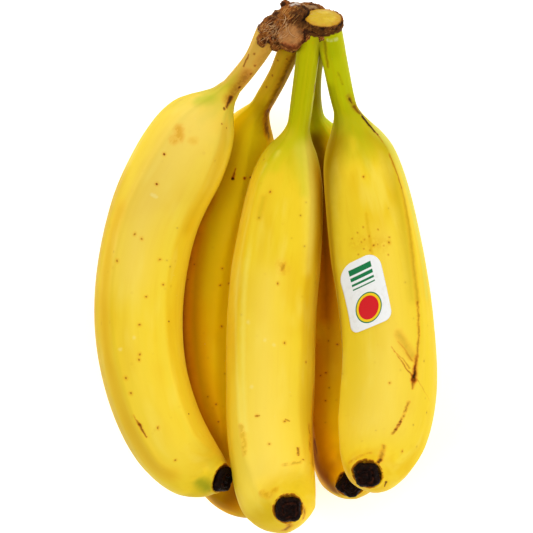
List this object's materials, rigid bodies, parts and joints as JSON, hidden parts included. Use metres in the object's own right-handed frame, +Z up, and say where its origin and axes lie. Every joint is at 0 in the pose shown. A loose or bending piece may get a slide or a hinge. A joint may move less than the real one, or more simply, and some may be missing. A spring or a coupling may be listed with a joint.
{
  "type": "bunch of bananas",
  "caption": "Bunch of ripe bananas joined at a corky crown, lying on its curved backs, with dried flower ends and a small paper label.",
  "frame": {"origin": "middle of the bunch's box, on the surface that it lies on", "axes": "+Y from the flower ends to the crown, +X across the bunch, +Z up out of its hollow side"},
  "size_m": [0.1358, 0.2086, 0.0896],
  "materials": {
    "peel": "waxy yellow fruit peel, satin, green at the stalks, with brown specks and scratches",
    "dry_flower": "dried black-brown flower remains, slightly glossy",
    "crown_cork": "rough brown cork with torn fibres, and one yellow cut face",
    "label_paper": "coated white paper with a plain printed pattern"
  },
  "bodies": {
    "root": {"banana_left": "peel", "banana_centre": "peel", "banana_right": "peel", "banana_back_left": "peel", "banana_back_right": "peel", "flower_end_left": "dry_flower", "flower_end_centre": "dry_flower", "flower_end_right": "dry_flower", "flower_end_back_left": "dry_flower", "flower_end_back_right": "dry_flower", "crown": "crown_cork", "label": "label_paper"}
  },
  "joints": []
}
